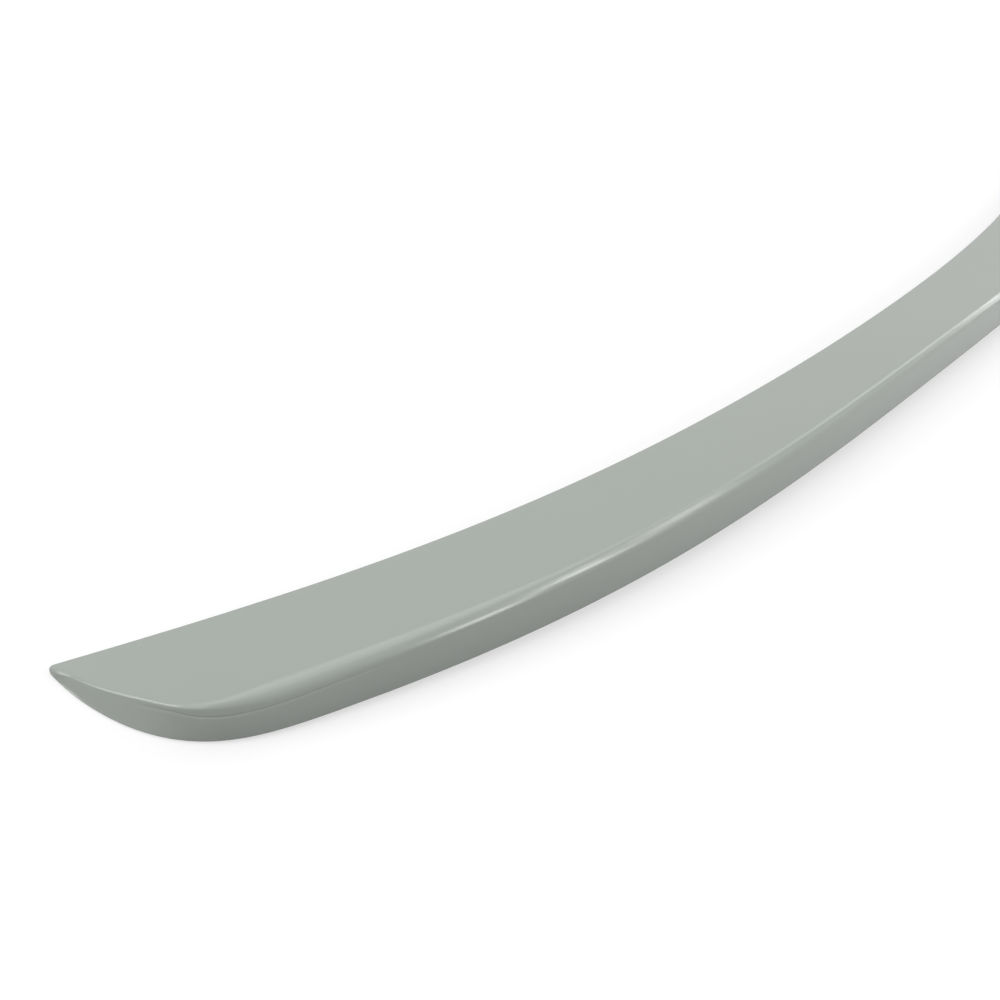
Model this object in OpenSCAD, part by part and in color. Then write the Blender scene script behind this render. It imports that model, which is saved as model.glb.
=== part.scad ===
// Lip spoiler for the rear edge of a boot lid: one closed moulding in grey
// primer. X runs across the car, Y forwards and Z up. The origin lies at the
// middle of the span, on the lid, below the middle of the leading edge.
//
// The blade is one skin. A section stands at each station along the span, and
// its wall, crease and ridge are measured inwards from the closed plan outline.
// So they turn the rear corner and run out at the tip without a seam.

/* [Plan] */
// Width across the car, from tip to tip
span = 1200; // [900:10:1500]
// How far the tips stand forward of the middle of the leading edge
sweep = 109; // [60:1:170]
// Share of the sweep that gathers towards the ends
sweep_gather = 0.60; // [0:0.01:0.8]
// Share of the sweep by which the last stretch straightens again
sweep_ease = 0.26; // [0:0.01:0.35]
// Depth from the leading to the trailing edge at the middle
depth_mid = 70; // [50:1:100]
// Depth from the leading to the trailing edge near the ends
depth_end = 86; // [60:1:110]
// Share of the half span at which the end depth is reached
depth_reach = 0.83; // [0.75:0.01:1]

/* [Heights] */
// Fall of the lid, and of the spoiler with it, from the middle to the tips
crown = 13; // [4:0.5:25]
// Height of the ridge above the lid at the middle
ridge_mid = 27.5; // [20:0.5:35]
// Height of the ridge above the lid at the ends, before it falls to the tips
ridge_end = 20.5; // [16:0.5:30]
// How far out the ridge keeps its height: more holds it nearer to the ends
ridge_hold = 6; // [2:0.5:8]
// Thickness of the leading edge and of the tips
edge_t = 4.1; // [3.4:0.1:6]
// Hollow of the top surface between the ridge and the leading edge
top_hollow = 0.8; // [0:0.1:2]

/* [Ends] */
// Length over which the outline closes from full depth to the tip
end_len = 108; // [70:1:150]
// Fullness of the rear corner: 2 is an ellipse, more is squarer
end_fullness = 5; // [2.5:0.1:6]
// Fullness of the rise of the end's rim: 1 is straight, less is fuller
rim_fullness = 0.86; // [0.75:0.01:1]
// Radius of the tip in plan
tip_r = 3.7; // [3:0.1:6]

/* [Ridge] */
// Radius of the brow, where the rear wall turns over into the bevel
brow_r = 7; // [5:0.1:8]
// Tilt of the bevel, from upright
bevel_tilt = 45; // [35:1:60]
// Width of the bevel at the middle of the span
bevel_w = 2.4; // [1:0.1:4]
// Width of the bevel along the end's rim, where it has almost run out
rim_bevel_w = 0.4; // [0.2:0.1:1]
// Radius of the ridge at the middle of the span
ridge_r = 2.2; // [1.5:0.1:5]
// Radius of the ridge next to the rear corner
corner_ridge_r = 6.5; // [5:0.1:8]
// Radius of the roll-over along the end's rim
rim_r = 3.2; // [2:0.1:4.5]
// Distance from the tip at which the rim's roll-over starts to widen
roll_from = 22; // [10:1:30]
// Distance from the tip at which it has widened to the ridge's
roll_to = 57; // [45:1:90]
// Distance from the tip at which the bevel starts to open
bevel_from = 60; // [40:5:120]
// Distance from the tip at which the bevel has its full width
bevel_to = 260; // [180:5:400]

/* [Rear wall] */
// Lean of the rear wall at its foot, forwards as it rises
lean_low = 0; // [0:0.5:8]
// Lean of the rear wall at its brow: the wall bows out between the two
lean_high = 14; // [4:0.5:20]
// Lean of the end wall, towards the middle as it rises
end_lean = 16; // [5:0.5:25]
// Distance from the tip at which the end wall's lean starts to give way
lean_from = 7; // [4:1:20]
// Distance from the tip at which only the rear wall's lean is left
lean_to = 40; // [30:1:70]
// Radius of the bottom edge
foot_r = 1.2; // [0.6:0.1:1.8]
// Height of the crease that runs round the end
crease_h = 15; // [10:0.5:17]
// How far the crease climbs along the rear before it fades
crease_climb = 3.5; // [0:0.5:5]
// Depth of the crease
crease_depth = 0.2; // [0.1:0.05:0.6]
// Width of the crease
crease_w = 1.3; // [0.8:0.1:2]
// Least distance from the brow down to the crease
crease_gap = 0.9; // [0.5:0.1:2]
// Distance from the tip at which the crease starts to show
crease_in_from = 8; // [4:1:20]
// Distance from the tip at which it is fully cut in
crease_in_to = 40; // [25:1:60]
// Distance from the tip at which the crease starts to fade
crease_from = 65; // [40:5:90]
// Distance from the tip at which the crease has gone
crease_to = 110; // [100:5:200]

/* [Underside] */
// Width of the bonding land that follows the leading and trailing edges
land_w = 14; // [8:1:18]
// Depth of the relief between the two lands
relief_depth = 2.5; // [0.5:0.1:3.5]
// Width of the drafted flanks of the relief
relief_flank = 4; // [2:0.5:6]
// Distance from the tip at which the relief starts to sink in
relief_from = 60; // [40:1:90]
// Length over which the relief reaches its full depth
relief_run = 60; // [30:1:120]

/* [Finish] */
// Stations round each rear corner
corner_steps = 15; // [8:1:24]
// Longest step between the stations along the rear
span_step = 26; // [15:1:60]
// Steps round the brow, and as many round the ridge
roll_steps = 5; // [3:1:8]

/* [Hidden] */
primer_grey = [0.67, 0.69, 0.67];
half_span = span / 2;

// The most of an edge's height that its foot radius and its roll-over take
foot_share = 0.3;
roll_share = 0.45;
// Share of the depth over which the tip's section grows into the wall's
tip_growth = 0.3;
// The most of the underside's width that a land, and a land with its flank, take
land_share = 0.3;
flank_share = 0.4;
foot_steps = 3;
wall_steps = 4;
upper_wall_steps = 2;
top_steps = 6;

function mix(a, b, t) = a + (b - a) * t;
function ease(from, to, x) =
    let (t = max(0, min(1, (x - from) / (to - from)))) t * t * (3 - 2 * t);
function along(x) = abs(x) / half_span;
function from_tip(x) = half_span - abs(x);

// The lid's surface and the spoiler's main lines, each at its place across
// the car
function lid_z(x) = -crown * along(x) ^ 2;
function ridge_z(x) = mix(ridge_mid, ridge_end, along(x) ^ ridge_hold);
function lead_y(x) =
    let (u = along(x))
    sweep * ((1 - sweep_gather + sweep_ease) * u ^ 2
        + sweep_gather * u ^ 4 - sweep_ease * u ^ 6);
function depth(x) =
    mix(depth_mid, depth_end, sin(90 * min(1, along(x) / depth_reach)) ^ 2);

// Share of the full depth that the outline has reached behind and before the
// tip, from 0 at the tip to 1
function rounded(part, fullness) =
    sqrt(max(0, 1 - (1 - min(1, part)) ^ fullness));
function rear_share(x) = rounded(from_tip(x) / end_len, end_fullness);
function front_share(x) = rounded(from_tip(x) / tip_r, 2);
function rear_point(x) =
    [x, lead_y(x) - tip_r - (depth(x) - tip_r) * rear_share(x)];
function front_point(x) =
    [x, lead_y(x) - tip_r + tip_r * front_share(x)];

// Stations from tip to tip: even angles round the corners, even steps between
span_steps = ceil(2 * (half_span - end_len) / span_step);
corner_x = [for (k = [0 : corner_steps])
    half_span - end_len * (1 - cos(90 * k / corner_steps) ^ (2 / end_fullness))];
station_x = concat(
    [for (k = [0 : corner_steps - 1]) -corner_x[k]],
    [for (k = [0 : span_steps])
        (half_span - end_len) * (2 * k / span_steps - 1)],
    [for (k = [corner_steps - 1 : -1 : 0]) corner_x[k]]);
last = len(station_x) - 1;
rear_line = [for (x = station_x) rear_point(x)];
front_line = [for (x = station_x) front_point(x)];

// Direction into the moulding at station i of an outline: side is 1 for the
// rear line and -1 for the front line
function inwards(line, i, side) =
    i == 0 ? [1, 0] :
    i == last ? [-1, 0] :
    let (run = line[i + 1] - line[i - 1])
    side * [-run[1], run[0]] / norm(run);

// How far an arc of the section goes inwards and up while its normal turns from
// one tilt to another
function arc_step(r, from, to) = r * [cos(from) - cos(to), sin(to) - sin(from)];

// Section of a wall as [inwards, up], from its foot up to where the top surface
// starts: foot radius, bowed wall with the crease, then brow, bevel and ridge
function wall_section(h, lean, roll, top_tilt, crease_at, crease) =
    let (
        foot = min(foot_r, foot_share * h),
        low = lean[0],
        high = lean[1],
        flat = roll[1] * [sin(bevel_tilt), cos(bevel_tilt)],
        rise = arc_step(roll[0], high, bevel_tilt)[1] + flat[1]
            + arc_step(roll[2], bevel_tilt, 90)[1],
        fit = min(1, roll_share * h / rise),
        brow_z = h - fit * rise,
        small = min(1, h / crease_h),
        half_w = crease_w / 2 * small,
        crease_z = min(crease_at, brow_z - crease_gap * small - half_w),
        bow = (tan(high) - tan(low)) / 2 / (brow_z - foot),
        wall = function (z) [(z - foot) * tan(low) + bow * (z - foot) ^ 2, z],
        brow = wall(brow_z),
        bevel = brow + fit * arc_step(roll[0], high, bevel_tilt),
        ridge = bevel + fit * flat
    )
    concat(
        [for (k = [0 : foot_steps])
            let (a = (90 + low) * k / foot_steps)
            [foot * (1 - sin(a)), foot * (1 - cos(a))]],
        [for (k = [1 : wall_steps])
            wall(mix(foot, crease_z - half_w, k / wall_steps))],
        [wall(crease_z) + [crease, 0]],
        [for (k = [0 : upper_wall_steps])
            wall(mix(crease_z + half_w, brow_z, k / upper_wall_steps))],
        [for (k = [1 : roll_steps])
            brow + fit * arc_step(roll[0], high, mix(high, bevel_tilt, k / roll_steps))],
        [for (k = [0 : roll_steps])
            ridge + fit * arc_step(roll[2], bevel_tilt, mix(bevel_tilt, top_tilt, k / roll_steps))]
    );

// A wall section set up at its place on an outline
function stand(section, foot_at, into, z) =
    [for (p = section) [
        foot_at[0] + into[0] * p[0],
        foot_at[1] + into[1] * p[0],
        z + p[1]]];

// Steepness of the top surface from the leading edge up to the ridge, and how
// much steeper its hollow makes it at the ridge, and flatter at the leading edge
function top_slope(x) = (ridge_z(x) - edge_t) / depth(x);
function hollow_slope(x) = 4 * top_hollow * rear_share(x) / depth(x);

function rear_wall(i) =
    let (
        x = station_x[i],
        s = from_tip(x),
        share = rear_share(x),
        into = inwards(rear_line, i, 1),
        h = mix(edge_t, ridge_z(x), share ^ rim_fullness),
        grown = ease(0, tip_growth, share),
        upright = ease(lean_from, lean_to, s),
        widen = ease(roll_from, roll_to, s),
        open = ease(bevel_from, bevel_to, s),
        lean = [
            mix(end_lean, lean_low, upright) * grown,
            mix(end_lean, lean_high, upright) * grown],
        roll = [
            mix(rim_r, brow_r, widen),
            mix(rim_bevel_w, bevel_w, open),
            mix(mix(rim_r, corner_ridge_r, widen), ridge_r, open)],
        top_tilt = 90 + atan((top_slope(x) + hollow_slope(x)) * into[1]),
        crease_at = crease_h + crease_climb * ease(roll_from, crease_to, s),
        crease = crease_depth * ease(crease_in_from, crease_in_to, s)
            * (1 - ease(crease_from, crease_to, s))
    )
    stand(wall_section(h, lean, roll, top_tilt, crease_at, crease),
        rear_line[i], into, lid_z(x));

function front_wall(i) =
    let (
        x = station_x[i],
        rise = atan((top_slope(x) - hollow_slope(x))
            * ease(0, tip_growth, rear_share(x)))
    )
    stand(
        wall_section(edge_t, [0, 0], [rim_r, rim_bevel_w, rim_r], 90 - rise, crease_h, 0),
        front_line[i], inwards(front_line, i, -1), lid_z(x));

// Top surface between the two walls, a little hollow
function top_strip(i, from, to) =
    [for (k = [1 : top_steps - 1])
        let (t = k / top_steps)
        mix(from, to, t)
            - [0, 0, top_hollow * 4 * t * (1 - t) * rear_share(station_x[i])]];

// Underside from the front foot back to the rear foot: land, relief, land
function under_strip(i, from, to) =
    let (
        wide = norm(to - from),
        land = min(land_share, land_w / wide),
        flank = min(flank_share, (land_w + relief_flank) / wide),
        up = relief_depth
            * ease(relief_from, relief_from + relief_run, from_tip(station_x[i]))
    )
    [for (p = [[land, 0], [flank, up], [1 - flank, up], [1 - land, 0]])
        mix(from, to, p[0]) + [0, 0, p[1]]];

// One closed section of the blade
function blade_section(i) =
    let (
        rear = rear_wall(i),
        front = front_wall(i),
        rim = rear[len(rear) - 1],
        nose = front[len(front) - 1]
    )
    concat(
        rear,
        top_strip(i, rim, nose),
        [for (k = [len(front) - 1 : -1 : 0]) front[k]],
        under_strip(i, front[0], rear[0])
    );

// At a tip the two walls meet in one line, and each place on the next section
// belongs to one point of it
wall_n = len(rear_wall(0));
front_start = wall_n + top_steps - 1;
under_start = front_start + wall_n;
ring_n = len(blade_section(1));
function tip_place(j) =
    j < wall_n ? j :
    j < front_start ? wall_n - 1 :
    j < under_start ? under_start - 1 - j :
    0;

// Point number of place j on station i
function point_id(i, j) =
    let (k = j % ring_n)
    i == 0 ? tip_place(k) :
    i == last ? wall_n + (last - 1) * ring_n + tip_place(k) :
    wall_n + (i - 1) * ring_n + k;

skin_points = concat(
    rear_wall(0),
    [for (i = [1 : last - 1]) each blade_section(i)],
    rear_wall(last));
skin_faces = [for (i = [0 : last - 1], j = [0 : ring_n - 1])
    let (
        a = point_id(i, j),
        b = point_id(i, j + 1),
        c = point_id(i + 1, j + 1),
        d = point_id(i + 1, j)
    )
    each concat(a == b ? [] : [[a, b, c]], c == d ? [] : [[a, c, d]])];

module spoiler() {
    color(primer_grey)
        polyhedron(points = skin_points, faces = skin_faces, convexity = 6);
}

spoiler();
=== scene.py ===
import math
import bpy
from mathutils import Matrix, Vector


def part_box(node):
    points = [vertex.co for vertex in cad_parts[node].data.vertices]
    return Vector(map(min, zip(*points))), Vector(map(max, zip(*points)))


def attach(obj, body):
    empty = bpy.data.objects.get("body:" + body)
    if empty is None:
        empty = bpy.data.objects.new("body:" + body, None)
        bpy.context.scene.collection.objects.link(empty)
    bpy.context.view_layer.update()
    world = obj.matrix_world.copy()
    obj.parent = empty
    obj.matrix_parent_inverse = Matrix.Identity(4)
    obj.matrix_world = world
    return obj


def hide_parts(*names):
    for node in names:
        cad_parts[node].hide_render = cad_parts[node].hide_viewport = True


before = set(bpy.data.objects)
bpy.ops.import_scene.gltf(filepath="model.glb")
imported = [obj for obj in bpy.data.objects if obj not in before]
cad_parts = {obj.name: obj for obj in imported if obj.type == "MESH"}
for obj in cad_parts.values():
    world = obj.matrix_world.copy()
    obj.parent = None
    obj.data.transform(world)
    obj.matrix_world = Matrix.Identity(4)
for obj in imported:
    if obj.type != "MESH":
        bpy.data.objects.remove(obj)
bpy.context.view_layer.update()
scene = bpy.context.scene


# Lip spoiler. One closed plastic moulding: a swept, crowned wedge that lies on the
# rear edge of a boot lid. It comes out of the mould as a single skin, so its walls,
# crease and ridge are drawn here as one mesh, section by section from tip to tip.
MM = 0.001
spoiler_low, spoiler_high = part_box("spoiler")
half_span = spoiler_high[0]
crown = -spoiler_low[2]
sweep = 109 * MM
sweep_gather = 0.60
sweep_ease = 0.26
depth_mid = 70 * MM
depth_end = 86 * MM
depth_reach = 0.83
ridge_mid = 27.3 * MM
ridge_end = 20.5 * MM
ridge_hold = 6
edge_thickness = 4.1 * MM
top_hollow = 0.8 * MM
nose_inset = 1.4 * MM
tip_ridge_inset = 4.5 * MM
corner_ridge_inset = 10.9 * MM
mid_ridge_inset = 8.6 * MM
tilt_reach = 2 * MM
end_length = 108 * MM
end_fullness = 5
tip_radius = 3.7 * MM
tip_growth = 0.15

ROUND_STATIONS = 56
SPAN_STATIONS = 250
TOP_POINTS = 26


def mix(a, b, t):
    return a + (b - a) * t


def ease(start, end, x):
    t = max(0.0, min(1.0, (x - start) / (end - start)))
    return t * t * (3 - 2 * t)


def along(x):
    return abs(x) / half_span


def from_tip(x):
    return half_span - abs(x)


def lid_height(x):
    return -crown * along(x) ** 2


def ridge_height(x):
    return mix(ridge_mid, ridge_end, along(x) ** ridge_hold)


def leading_edge(x):
    u = along(x)
    even = 1 - sweep_gather + sweep_ease
    return sweep * (even * u ** 2 + sweep_gather * u ** 4 - sweep_ease * u ** 6)


def depth(x):
    return mix(depth_mid, depth_end, math.sin(math.pi / 2 * min(1, along(x) / depth_reach)) ** 2)


def rounded(share, fullness):
    return math.sqrt(max(0.0, 1 - (1 - min(1.0, share)) ** fullness))


def rear_share(x):
    return rounded(from_tip(x) / end_length, end_fullness)


def rear_point(x):
    return Vector((x, leading_edge(x) - tip_radius - (depth(x) - tip_radius) * rear_share(x), 0))


def front_point(x):
    return Vector((x, leading_edge(x) - tip_radius * (1 - rounded(from_tip(x) / tip_radius, 2)), 0))


def stations():
    """Places across the car from tip to tip: even angles round the corners, even steps between."""
    turns = [math.pi / 2 * k / ROUND_STATIONS for k in range(ROUND_STATIONS)]
    corner = [half_span - end_length * (1 - math.cos(a) ** (2 / end_fullness)) for a in turns]
    straight = half_span - end_length
    middle = [straight * (2 * k / SPAN_STATIONS - 1) for k in range(SPAN_STATIONS + 1)]
    return [-x for x in corner] + middle + corner[::-1]


def inward_directions(line, side):
    """Direction into the moulding at each point of an outline, square to it."""
    into = [Vector((1, 0, 0))]
    for before, after in zip(line, line[2:]):
        run = (after - before).normalized()
        into.append(side * Vector((-run.y, run.x, 0)))
    return into + [Vector((-1, 0, 0))]


# The walls. The rear wall bows out a little and leans in at its brow, then turns over
# the ridge: a brow radius, a soft bevel and a ridge radius. Round the end the same
# section is raked and thinner, with a fine crease, and at the tip it meets the front wall.
foot_radius = 0.7 * MM
foot_share = 0.3
lean_low = 0
lean_high = math.radians(14)
end_lean = math.radians(14.5)
tip_lean = math.radians(34)
tip_lean_run = 32 * MM
lean_from = 7 * MM
lean_to = 40 * MM
bevel_tilt = math.radians(45)
brow_radius = 7 * MM
bevel_width = 2.4 * MM
rim_bevel_width = 0.4 * MM
ridge_radius = 2.2 * MM
corner_ridge_radius = 6.5 * MM
rim_radius = 1.8 * MM
roll_share = 0.45
roll_from = 20 * MM
roll_to = 64 * MM
bevel_from = 60 * MM
bevel_to = 260 * MM
crease_depth = 0.3 * MM
crease_width = 1.6 * MM
crease_height = 15 * MM
crease_climb = 3.5 * MM
crease_gap = 0.9 * MM
crease_in_from = 2 * MM
crease_in_to = 22 * MM
crease_climb_from = 22 * MM
crease_from = 65 * MM
crease_to = 110 * MM

FOOT_POINTS = 5
WALL_POINTS = 10
CREASE_POINTS = 8
ROLL_POINTS = 9
FITTING_ROUNDS = 6


def arc_step(radius, start, end):
    """How far an arc of the section goes (inwards, up) as its normal turns from start to end."""
    return radius * (math.cos(start) - math.cos(end)), radius * (math.sin(end) - math.sin(start))


def wall_section(height, low, high, brow, bevel, ridge, top, crease_at, crease):
    """Points (inwards, up) from the foot to the place where the top surface starts."""
    foot = min(foot_radius, foot_share * height)
    rise = (arc_step(brow, high, bevel_tilt)[1] + bevel * math.cos(bevel_tilt)
            + arc_step(ridge, bevel_tilt, math.pi / 2)[1])
    fit = min(1, roll_share * height / rise)
    wall_top = height - fit * rise
    small = min(1, height / crease_height)
    half_width = crease_width / 2 * small
    crease_z = min(crease_at, wall_top - crease_gap * small - half_width)

    def wall_x(z):
        run = z - foot
        return run * math.tan(low) + run * run / (2 * (wall_top - foot)) * (math.tan(high) - math.tan(low))

    points = []
    for k in range(FOOT_POINTS + 1):
        a = (math.pi / 2 + low) * k / FOOT_POINTS
        points.append((foot * (1 - math.sin(a)), foot * (1 - math.cos(a))))
    for k in range(1, WALL_POINTS + 1):
        z = mix(foot, crease_z - half_width, k / WALL_POINTS)
        points.append((wall_x(z), z))
    for k in range(1, CREASE_POINTS + 1):
        t = 2 * k / CREASE_POINTS - 1
        z = crease_z + half_width * t
        points.append((wall_x(z) + crease * (1 - abs(t)) ** 1.3, z))
    for k in range(1, WALL_POINTS // 2 + 1):
        z = mix(crease_z + half_width, wall_top, 2 * k / WALL_POINTS)
        points.append((wall_x(z), z))
    x, z = points[-1]
    for radius, start, end in ((brow, high, bevel_tilt), (ridge, bevel_tilt, top)):
        for k in range(1, ROLL_POINTS + 1):
            across, up = arc_step(radius * fit, start, mix(start, end, k / ROLL_POINTS))
            points.append((x + across, z + up))
        x, z = points[-1]
        if end == bevel_tilt:
            x += bevel * fit * math.sin(end)
            z += bevel * fit * math.cos(end)
            points.append((x, z))
    return points


def stand(section, foot_at, into, z):
    return [foot_at + into * inwards + Vector((0, 0, z + up)) for inwards, up in section]


def top_height(x, y):
    """The top surface: a slightly hollow ramp from the leading edge up to the ridge."""
    s = from_tip(x)
    ridge_inset = mix(tip_ridge_inset, corner_ridge_inset, ease(0, bevel_from, s))
    ridge_inset = mix(ridge_inset, mid_ridge_inset, ease(bevel_from, bevel_to, s))
    t = (leading_edge(x) - nose_inset - y) / (depth(x) - nose_inset - ridge_inset)
    return lid_height(x) + mix(edge_thickness, ridge_height(x), t) - top_hollow * 4 * t * (1 - t)


def reach_top(section, foot_at, into):
    """Stands a wall section up so that its roll-over ends on the top surface and along it."""
    base = lid_height(foot_at.x)
    height, tilt = edge_thickness, math.pi / 2
    for _ in range(FITTING_ROUNDS):
        inwards, up = section(height, tilt)[-1]
        at = foot_at + into * inwards
        ahead = at + into * tilt_reach
        wanted = top_height(at.x, at.y)
        tilt = math.pi / 2 - math.atan((top_height(ahead.x, ahead.y) - wanted) / tilt_reach)
        height += wanted - base - up
    return stand(section(height, tilt), foot_at, into, base)


def rear_wall(x, foot_at, into):
    s = from_tip(x)
    widen = ease(roll_from, roll_to, s)
    opened = ease(bevel_from, bevel_to, s)
    grown = ease(0, tip_growth, rear_share(x))
    upright = ease(lean_from, lean_to, s)
    raked = mix(tip_lean, end_lean, ease(0, tip_lean_run, s))
    low = mix(raked, lean_low, upright) * grown
    high = mix(raked, lean_high, upright) * grown
    brow = mix(rim_radius, brow_radius, widen)
    ridge = mix(mix(rim_radius, corner_ridge_radius, widen), ridge_radius, opened)
    bevel = mix(rim_bevel_width, bevel_width, opened)
    crease_at = crease_height + crease_climb * ease(crease_climb_from, crease_to, s)
    crease = crease_depth * ease(crease_in_from, crease_in_to, s) * (1 - ease(crease_from, crease_to, s))

    def section(height, top):
        return wall_section(height, low, high, brow, bevel, ridge, top, crease_at, crease)

    return reach_top(section, foot_at, into)


def front_wall(x, foot_at, into):
    def section(height, top):
        return wall_section(height, 0, 0, rim_radius, rim_bevel_width, rim_radius, top, crease_height, 0)

    return reach_top(section, foot_at, into)


# The underside. Two flat lands follow the long edges and carry the tape or glue; the
# relief between them keeps the middle clear of the lid and runs out before the tips.
land_width = 14 * MM
relief_depth = 2.5 * MM
relief_flank = 4 * MM
relief_from = 60 * MM
relief_run = 60 * MM
land_share = 0.3
flank_share = 0.4

FLANK_POINTS = 6
LAND_POINTS = 4
RELIEF_POINTS = 8


def underside(x, front_foot, rear_foot):
    """Points between the two feet, from the front one back, without the feet themselves."""
    width = (rear_foot - front_foot).length
    land = min(land_share, land_width / width)
    flank = min(flank_share, (land_width + relief_flank) / width)
    rise = relief_depth * ease(relief_from, relief_from + relief_run, from_tip(x))
    places = [land * k / LAND_POINTS for k in range(1, LAND_POINTS)]
    places += [mix(land, flank, k / FLANK_POINTS) for k in range(FLANK_POINTS + 1)]
    places += [mix(flank, 0.5, k / RELIEF_POINTS) for k in range(1, RELIEF_POINTS)]
    places += [0.5] + [1 - t for t in reversed(places)]
    up = Vector((0, 0, rise))
    return [front_foot.lerp(rear_foot, t) + up * ease(land, flank, min(t, 1 - t)) for t in places]


def top_points(rim, nose):
    """Points on the top surface between the ridge and the leading edge, without the two ends."""
    places = [rim.lerp(nose, k / TOP_POINTS) for k in range(1, TOP_POINTS)]
    return [Vector((p.x, p.y, top_height(p.x, p.y))) for p in places]


def blade_mesh():
    """The whole skin. At each tip the two walls meet in one line of points."""
    across = stations()
    rear_line = [rear_point(x) for x in across]
    front_line = [front_point(x) for x in across]
    rear_into = inward_directions(rear_line, 1)
    front_into = inward_directions(front_line, -1)
    rings = []
    for i, x in enumerate(across):
        rear = rear_wall(x, rear_line[i], rear_into[i])
        front = front_wall(x, front_line[i], front_into[i])
        if x in (across[0], across[-1]):
            rings.append(rear)
            continue
        top = top_points(rear[-1], front[-1])
        rings.append(rear + top + front[::-1] + underside(x, front[0], rear[0]))

    wall_count = len(rings[0])
    ring_count = len(rings[1])
    nose_start = wall_count + TOP_POINTS - 1
    under_start = nose_start + wall_count

    def tip_place(j):
        if j < wall_count:
            return j
        if j < nose_start:
            return wall_count - 1
        if j < under_start:
            return under_start - 1 - j
        return 0

    first = [0]
    for ring in rings:
        first.append(first[-1] + len(ring))
    last = len(rings) - 1

    def point_id(i, j):
        j %= ring_count
        return first[i] + (tip_place(j) if i in (0, last) else j)

    faces = []
    for i in range(last):
        for j in range(ring_count):
            corners = [point_id(i, j), point_id(i + 1, j), point_id(i + 1, j + 1), point_id(i, j + 1)]
            faces.append(list(dict.fromkeys(corners)))
    points = [p for ring in rings for p in ring]
    mesh = bpy.data.meshes.new("lip_spoiler")
    mesh.from_pydata(points, [], faces)
    mesh.validate()
    mesh.shade_smooth()
    return mesh


lip_spoiler = bpy.data.objects.new("lip_spoiler", blade_mesh())
scene.collection.objects.link(lip_spoiler)


# The finish. Grey sanding primer, sprayed in one coat and left semi-gloss: an orange
# peel and a finer grain so slight that they show only close up, soft clouds a shade
# paler and duller than the rest, and a dry, darker mist on the underside.
primer_colour = (0.405, 0.440, 0.405)
thin_colour = (0.47, 0.485, 0.455)
mist_colour = (0.24, 0.255, 0.24)
peel_size = 2.6 * MM
peel_height = 0.4 * MM
peel_strength = 0.05
grain_size = 0.5 * MM
grain_height = 0.1 * MM
grain_strength = 0.03
cloud_size = 70 * MM
cloud_thinning = 0.06
coat_roughness = (0.175, 0.215)
mist_roughness = 0.62
mist_facing = (-0.75, -0.9)
mist_ragged = 0.1
noise_range = (0.3, 0.7)


def noise(nodes, links, place, size, detail):
    """Soft noise whose lumps are about as large as size, over the object's own space."""
    texture = nodes.new("ShaderNodeTexNoise")
    texture.inputs["Scale"].default_value = 1 / size
    texture.inputs["Detail"].default_value = detail
    links.new(place, texture.inputs["Vector"])
    return texture.outputs["Fac"]


def ramp(nodes, links, value, low, high, out_low, out_high):
    """A value carried over, in even steps, from one range to another."""
    node = nodes.new("ShaderNodeMapRange")
    for name, number in (("From Min", low), ("From Max", high), ("To Min", out_low), ("To Max", out_high)):
        node.inputs[name].default_value = number
    links.new(value, node.inputs["Value"])
    return node.outputs["Result"]


def join(nodes, links, operation, first, second):
    node = nodes.new("ShaderNodeMath")
    node.operation = operation
    for socket, value in zip(node.inputs, (first, second)):
        if isinstance(value, float):
            socket.default_value = value
        else:
            links.new(value, socket)
    return node.outputs["Value"]


def blend_colour(nodes, links, share, first, second):
    """First colour where share is 0, second where it is 1; each is a colour or another node's output."""
    node = nodes.new("ShaderNodeMix")
    node.data_type = "RGBA"
    links.new(share, node.inputs["Factor"])
    for name, value in (("A", first), ("B", second)):
        socket = next(i for i in node.inputs if i.name == name and i.type == "RGBA")
        if isinstance(value, tuple):
            socket.default_value = (*value, 1)
        else:
            links.new(value, socket)
    return next(o for o in node.outputs if o.type == "RGBA")


def bump(nodes, links, height, strength, distance, under=None):
    node = nodes.new("ShaderNodeBump")
    node.inputs["Strength"].default_value = strength
    node.inputs["Distance"].default_value = distance
    links.new(height, node.inputs["Height"])
    if under:
        links.new(under, node.inputs["Normal"])
    return node.outputs["Normal"]


def primer_finish():
    material = bpy.data.materials.new("grey_primer")
    material.use_nodes = True
    nodes = material.node_tree.nodes
    links = material.node_tree.links
    shader = nodes["Principled BSDF"]
    shader.inputs["IOR"].default_value = 1.5
    place = nodes.new("ShaderNodeTexCoord").outputs["Object"]
    surface = nodes.new("ShaderNodeNewGeometry")

    facing = nodes.new("ShaderNodeSeparateXYZ")
    links.new(surface.outputs["Normal"], facing.inputs["Vector"])
    grain = noise(nodes, links, place, grain_size, 3)
    rag = ramp(nodes, links, grain, *noise_range, -mist_ragged, mist_ragged)
    mist = ramp(nodes, links, join(nodes, links, "ADD", facing.outputs["Z"], rag), *mist_facing, 0.0, 1.0)

    cloud = noise(nodes, links, place, cloud_size, 3)
    thin = ramp(nodes, links, cloud, *noise_range, 0.0, cloud_thinning)
    colour = blend_colour(nodes, links, thin, primer_colour, thin_colour)
    links.new(blend_colour(nodes, links, mist, colour, mist_colour), shader.inputs["Base Color"])

    coat = ramp(nodes, links, cloud, *noise_range, *coat_roughness)
    dry = join(nodes, links, "MULTIPLY", mist, mist_roughness - coat_roughness[1])
    links.new(join(nodes, links, "ADD", coat, dry), shader.inputs["Roughness"])

    peel = bump(nodes, links, noise(nodes, links, place, peel_size, 2), peel_strength, peel_height)
    fine = bump(nodes, links, grain, grain_strength, grain_height, peel)
    links.new(fine, shader.inputs["Normal"])
    return material


lip_spoiler.data.materials.append(primer_finish())
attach(lip_spoiler, "root")
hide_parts("spoiler")


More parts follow.
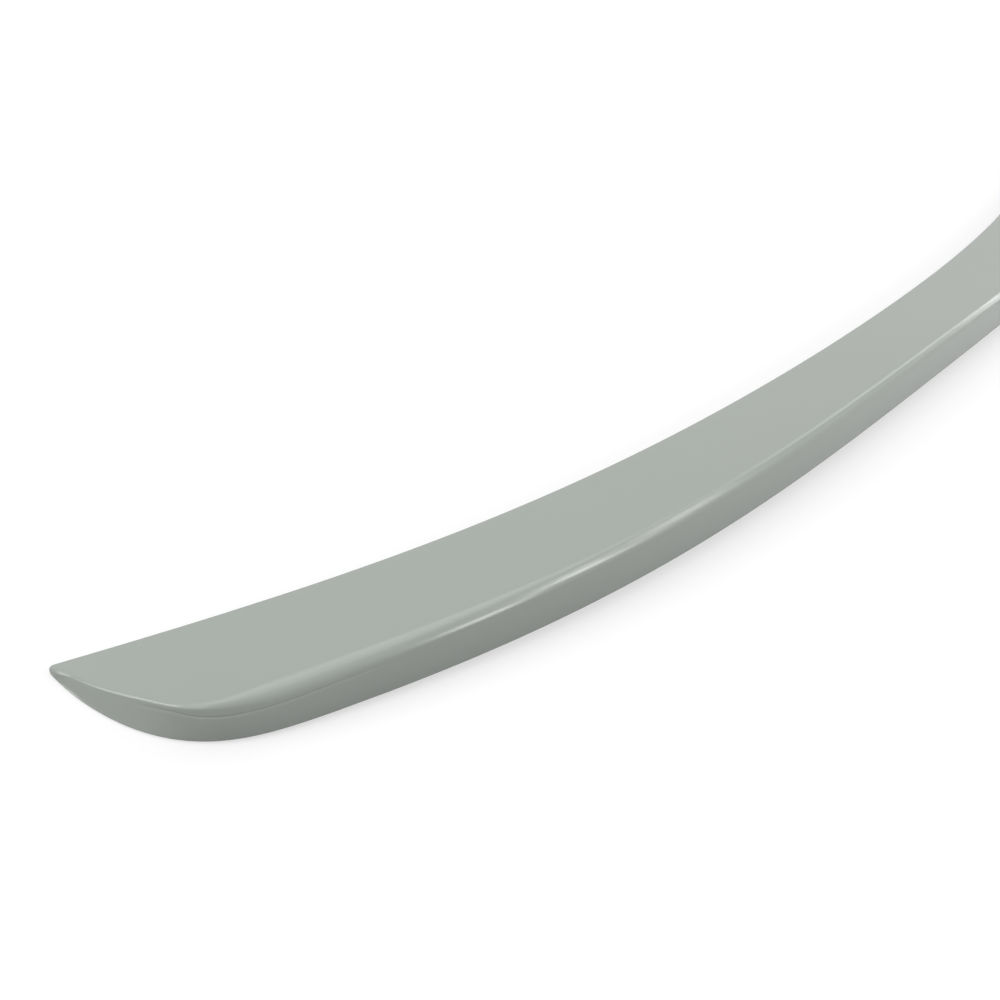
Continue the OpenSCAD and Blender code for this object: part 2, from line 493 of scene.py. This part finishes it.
# The studio. A pale table under the tips in a white room. Four small bright windows on
# the rear side draw the streaks along the ridge and the brow; wide soft panels at both
# ends, in front and overhead light the rest.
table_reach = 3.0
table_colour = (0.05, 0.05, 0.05)
table_seen = (0.45, 0.60)
table_mirrored = (1.0, 0.10)
room_light = 0.17


def lit_only(nodes, links, seen, mirrored, lit, output):
    """Shows one shader to the camera and one in gloss and glass; the third lights the object."""
    path = nodes.new("ShaderNodeLightPath")
    gloss_or_glass = nodes.new("ShaderNodeMath")
    gloss_or_glass.operation = "MAXIMUM"
    links.new(path.outputs["Is Glossy Ray"], gloss_or_glass.inputs[0])
    links.new(path.outputs["Is Transmission Ray"], gloss_or_glass.inputs[1])
    gloss = gloss_or_glass.outputs["Value"]
    for share, shown in ((gloss, mirrored), (path.outputs["Is Camera Ray"], seen)):
        choose = nodes.new("ShaderNodeMixShader")
        links.new(share, choose.inputs["Fac"])
        links.new(lit, choose.inputs[1])
        links.new(shown, choose.inputs[2])
        lit = choose.outputs["Shader"]
    links.new(lit, output)


def table_finish():
    """Dark to the light that falls on the object; pale, with the object's shadow, when looked at."""
    material = bpy.data.materials.new("pale_table")
    material.use_nodes = True
    nodes = material.node_tree.nodes
    links = material.node_tree.links
    nodes.remove(nodes["Principled BSDF"])
    lit = nodes.new("ShaderNodeBsdfDiffuse")
    lit.inputs["Color"].default_value = (*table_colour, 1)
    shown = []
    for shade_share, glow_share in (table_seen, table_mirrored):
        shade = nodes.new("ShaderNodeBsdfDiffuse")
        shade.inputs["Color"].default_value = (shade_share, shade_share, shade_share, 1)
        glow = nodes.new("ShaderNodeEmission")
        glow.inputs["Strength"].default_value = glow_share
        white = nodes.new("ShaderNodeAddShader")
        links.new(shade.outputs["BSDF"], white.inputs[0])
        links.new(glow.outputs["Emission"], white.inputs[1])
        shown.append(white.outputs["Shader"])
    lit_only(nodes, links, *shown, lit.outputs["BSDF"], nodes["Material Output"].inputs["Surface"])
    return material


table_mesh = bpy.data.meshes.new("table")
corners = [(-1, -1), (1, -1), (1, 1), (-1, 1)]
table_mesh.from_pydata([(table_reach * x, table_reach * y, spoiler_low[2]) for x, y in corners],
                       [], [(0, 1, 2, 3)])
table = bpy.data.objects.new("table", table_mesh)
table.data.materials.append(table_finish())
scene.collection.objects.link(table)

world = bpy.data.worlds.new("white_room")
scene.world = world
world.use_nodes = True
world_nodes = world.node_tree.nodes
world_links = world.node_tree.links
room = world_nodes["Background"]
room.inputs["Color"].default_value = (1, 1, 1, 1)
room.inputs["Strength"].default_value = room_light
white = world_nodes.new("ShaderNodeBackground")
white.inputs["Strength"].default_value = 1
lit_only(world_nodes, world_links, white.outputs["Background"], white.outputs["Background"],
         room.outputs["Background"], world_nodes["World Output"].inputs["Surface"])


lamp_distance = 5.0
lamp_aim = Vector((-0.25, -0.03, 0))


def panel(name, azimuth, elevation, wide, high, glow):
    """A soft panel that takes up wide by high degrees of the sky; glow 1 is as bright as white paper."""
    turn, climb = math.radians(azimuth), math.radians(elevation)
    towards = Vector((math.sin(turn) * math.cos(climb), math.cos(turn) * math.cos(climb), math.sin(climb)))
    lamp = bpy.data.lights.new(name, "AREA")
    lamp.shape = "RECTANGLE"
    lamp.size = 2 * lamp_distance * math.tan(math.radians(wide / 2))
    lamp.size_y = 2 * lamp_distance * math.tan(math.radians(high / 2))
    lamp.energy = glow * math.pi * lamp.size * lamp.size_y
    holder = bpy.data.objects.new(name, lamp)
    holder.location = lamp_aim + lamp_distance * towards
    holder.rotation_euler = (-towards).to_track_quat("-Z", "Y").to_euler()
    scene.collection.objects.link(holder)


panel("window_near", 161, 27, 8, 14, 11.5)
panel("window_sill", 157, 16, 12, 8, 3.5)
panel("window_far", 176, 11, 9, 26, 9)
panel("window_side", 144, 30, 8, 8, 7)
panel("right_low", 103, 13, 20, 18, 6)
panel("right_high", 106, 34, 34, 22, 1.6)
panel("left_low", 300, 26, 24, 12, 7.4)
panel("left_high", 270, 36, 22, 22, 2.0)
panel("front_high", 346, 57, 90, 40, 0.84)
panel("front_right", 60, 44, 34, 24, 0.5)
panel("overhead", 0, 90, 56, 56, 0.75)

# The camera stands close over the left rear corner and looks along the span.
camera_place = (-0.72831, -0.28039, 0.40374)
camera_heading = math.radians(49.375)
camera_tilt = math.radians(39.279)
camera_roll = math.radians(4.672)
camera_lens = 39.79

camera = bpy.data.objects.new("camera", bpy.data.cameras.new("camera"))
camera.data.sensor_width = 36
camera.data.lens = camera_lens
camera.data.clip_start = 0.01
camera.matrix_world = (
    Matrix.Translation(camera_place)
    @ Matrix.Rotation(-camera_heading, 4, "Z")
    @ Matrix.Rotation(math.pi / 2 - camera_tilt, 4, "X")
    @ Matrix.Rotation(camera_roll, 4, "Z")
)
scene.collection.objects.link(camera)
scene.camera = camera
scene.view_settings.view_transform = "Standard"
